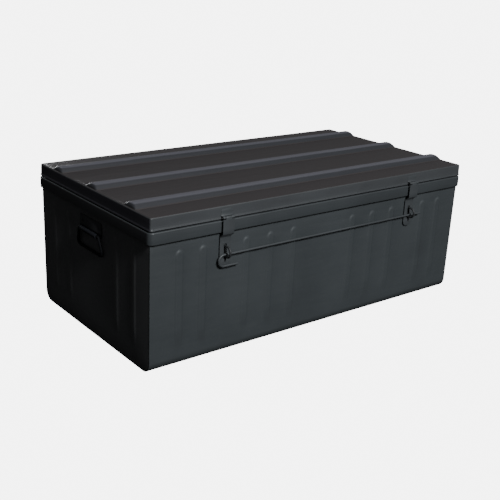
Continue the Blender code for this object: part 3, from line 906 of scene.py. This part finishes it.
stapleSettings = {
    "z": 0.234, "wire": 0.00225, "loop": 0.0113, "loopSteps": 20, "centreY": -0.24665, "rooted": 0.0004,
    "plateBack": -0.2363, "plateThick": 0.0013, "plateHalfWidth": 0.010, "plateHalfHeight": 0.024,
    "plateCorner": 0.004, "cornerSteps": 6, "softEdge": 0.0003,
}


def buildStaples():
    s = stapleSettings
    front = s["plateBack"] - s["plateThick"]
    plate = boxPiece("staplePlate", (-s["plateHalfWidth"], front, s["z"] - s["plateHalfHeight"]),
                     (s["plateHalfWidth"], s["plateBack"], s["z"] + s["plateHalfHeight"]))
    bevelEdges(plate, s["plateCorner"], s["cornerSteps"], lambda edge: runsAlong(edge, yAxis))
    softEdges(plate, s["softEdge"])
    root = s["plateBack"] - s["rooted"]
    reach = root - s["centreY"]
    moves = (("go", reach), ("turn", s["loop"], 180.0, s["loopSteps"]), ("go", reach))
    start = (root, s["z"] + s["loop"])
    cutWith(plate, runWire("stapleWire", s["wire"], Vector(), yAxis, zAxis, start, 180.0, moves), "UNION")
    for label, x in haspSettings["sides"]:
        placeCopy(plate, "staple_" + label, "staple_" + label, Vector((x, 0.0, 0.0)), "trunk",
                  staplePaint)
    bpy.data.objects.remove(plate)


rodSettings = {
    "radius": 0.0025, "sides": 24, "y": -0.2430, "z": 0.22775, "tip": 0.311, "lengths": 12, "bend": -0.278,
    "bendRadius": 0.0123, "bendSteps": 24, "end": -0.242, "smooth": 45.0,
}


def buildLockRod():
    s = rodSettings
    hook = s["end"] - s["bend"]
    moves = [("go", (s["tip"] - s["bend"]) / s["lengths"])] * s["lengths"]
    moves += [("turn", s["bendRadius"], 180.0, s["bendSteps"]), ("go", hook / 2), ("go", hook / 2)]
    origin = Vector((0.0, s["y"], 0.0))
    start = (s["tip"], s["z"])
    rod = runWire("lockRod", s["radius"], origin, xAxis, zAxis, start, 180.0, moves, s["sides"])
    finishPiece(rod, "lockRod", "lock_rod", rodPaint, ["lock_rod"], s["smooth"])


handleSettings = {  # the bracket's path is (y, z) from the bail's axis
    "axisX": 0.4545, "axisZ": 0.236, "sheet": 0.0016, "softEdge": 0.00025,
    "plateHalf": 0.0475, "plateCorner": 0.005, "cornerSteps": 6,
    "platePath": ((-0.0049, 0.030), (-0.0049, 0.018), (-0.0049, 0.0075), (-0.0049, 0.0045),
                  (-0.0046, 0.0018)),
    "roll": 0.00445, "rollTurn": (180.0, 455.0), "rollSteps": 28, "tubeHalf": 0.036,
    "cutEnd": 0.060, "cutReach": 0.010, "cutOut": -0.0036, "cutLow": -0.0065,
    "rivetY": 0.0356, "rivetZ": 0.25365,
    "wire": 0.003, "tip": 0.022, "shoulder": 0.039, "turn": 0.005, "turnSteps": 8, "legSlant": 18.1,
    "leg": 0.02604, "corner": 0.009, "bendSteps": 14, "lean": 0.065, "smooth": 45.0,
}


def bracketPiece():  # a plate with a tube rolled at its foot, the tube shorter than the plate
    s = handleSettings
    path = list(s["platePath"]) + arcPoints((0.0, 0.0), s["roll"], *s["rollTurn"], s["rollSteps"])
    top = path[0][1]
    reach = s["cutReach"]
    plate = stripPiece("handleBracket", 2 * s["plateHalf"], path)
    roundCorners(plate, s["plateCorner"], s["cornerSteps"], lambda vert: vert.co.z > top - closeTo)
    sheetMetal(plate, s["sheet"], 0.0)
    for low, high in ((-s["cutEnd"], -s["tubeHalf"]), (s["tubeHalf"], s["cutEnd"])):
        cutWith(plate, boxPiece("cutter", (low, s["cutOut"], -reach), (high, reach, reach)))
        cutWith(plate, boxPiece("cutter", (low, -reach, -reach), (high, reach, s["cutLow"])))
    softEdges(plate, s["softEdge"])
    return plate


def bailMoves():  # out of one end of the tube, round three sides and into the other end
    s = handleSettings
    slant = 90.0 - s["legSlant"]
    slope = math.radians(slant)
    inward = s["turn"] * math.sin(slope) + s["leg"] * math.cos(slope) - s["corner"] * math.sin(slope)
    shoulder = ("go", s["shoulder"] - s["tip"])
    turn = ("turn", s["turn"], -slant, s["turnSteps"])
    leg = ("go", s["leg"])
    corner = ("turn", s["corner"], -(180.0 - slant), s["bendSteps"])
    grip = ("go", s["shoulder"] + inward)
    return [shoulder, turn, leg, corner, grip, grip, corner, leg, turn, shoulder]


def buildHandles():
    s = handleSettings
    plate = bracketPiece()
    for label, side in (("left", -1.0), ("right", 1.0)):
        axis = Vector((side * s["axisX"], 0.0, s["axisZ"]))
        bracket = copyPiece(plate, "handleBracket_" + label)
        turnInto(bracket, (yAxis * -side, xAxis * side, zAxis), axis)
        finishPiece(bracket, "handleBracket_" + label, "trunk", bracketPaint,
                    ["handle_bracket_" + label])
        up = Vector((side * s["lean"], 0.0, 1.0)).normalized()
        bail = runWire("handleBail", s["wire"], axis, yAxis, up, (s["tip"], 0.0), 0.0, bailMoves())
        finishPiece(bail, "handleBail_" + label, "handle_" + label, handlePaint,
                    ["handle_bail_" + label], s["smooth"])
    bpy.data.objects.remove(plate)


rivetSettings = {
    "head": 0.0032, "dome": 0.0015, "sides": 28, "domeShare": 0.96, "domeSteps": 7, "back": 0.0002,
    "sink": 0.0001, "insets": ((0.12, 0.0001), (0.15, 0.00005)),  # (share of the head, height)
}


def rivetPiece():  # a domed head, its axis along Z, its flat side at zero
    s = rivetSettings
    clearSelection()
    bpy.ops.mesh.primitive_cylinder_add(vertices=s["sides"], radius=s["head"], depth=s["dome"] * 2,
                                        location=(0.0, 0.0, 0.0))
    piece = bpy.context.object
    bpy.ops.object.transform_apply(location=True, rotation=True, scale=True)
    bevelEdges(piece, s["dome"] * s["domeShare"], s["domeSteps"], lambda edge: not runsAlong(edge, zAxis))
    openEdit(piece, "FACE")
    pick(piece, "FACE", lambda face: face.normal.z > turnedTo and len(face.verts) == s["sides"])
    for share, height in s["insets"]:
        bpy.ops.mesh.inset(thickness=s["head"] * share, depth=height)
    closeEdit()
    cutAway(piece, (0.0, 0.0, -s["back"]), (0.0, 0.0, -1.0))
    return piece


def placeRivet(source, name, node, place, facing, body, material):
    piece = copyPiece(source, name)
    side = facing.orthogonal().normalized()
    turnInto(piece, (side, facing.cross(side), facing), place)
    finishPiece(piece, name, body, material, [node])


def buildRivets():
    s = rivetSettings
    leaf = leafSettings
    handle = handleSettings
    source = rivetPiece()
    bodyFace = leaf["axisY"] + leaf["bodyPath"][0][0] + leaf["sheet"] / 2 - s["sink"]
    lidFace = leaf["axisY"] + leaf["lidPath"][0][0] + leaf["sheet"] / 2 - s["sink"]
    bodyZ = leaf["axisZ"] + leaf["bodyRivetZ"]
    lidZ = leaf["axisZ"] + leaf["lidRivetZ"]
    for label, x in leaf["hingeX"]:
        for word, side in (("a", -1.0), ("b", 1.0)):
            at = x + side * leaf["rivetX"]
            end = label + "_" + word
            placeRivet(source, "rivetHingeBody_" + end, "rivet_hinge_body_" + end,
                       Vector((at, bodyFace, bodyZ)), yAxis, "trunk", fittingPaint)
            placeRivet(source, "rivetHingeLid_" + end, "rivet_hinge_lid_" + end,
                       Vector((at, lidFace, lidZ)), yAxis, "lid", fittingPaint)
    outFace = handle["axisX"] + handle["platePath"][0][0] + handle["sheet"] / 2 - s["sink"]
    for label, side in (("left", -1.0), ("right", 1.0)):
        for word, across in (("a", -1.0), ("b", 1.0)):
            end = label + "_" + word
            place = Vector((side * outFace, across * handle["rivetY"], handle["rivetZ"]))
            placeRivet(source, "rivetHandle_" + end, "rivet_handle_" + end, place, xAxis * side, "trunk",
                       bracketPaint)
    bpy.data.objects.remove(source)


buildBodyShell()
print("body shell ready")
buildEndPlates()
print("end plates ready")
buildRimCollar()
print("collar ready")
buildLidShell()
print("lid ready")
buildHinges()
print("hinges ready")
buildHasps()
print("hasps ready")
buildStaples()
print("staples ready")
buildLockRod()
print("rod ready")
buildHandles()
print("handles ready")
buildRivets()
print("rivets ready")
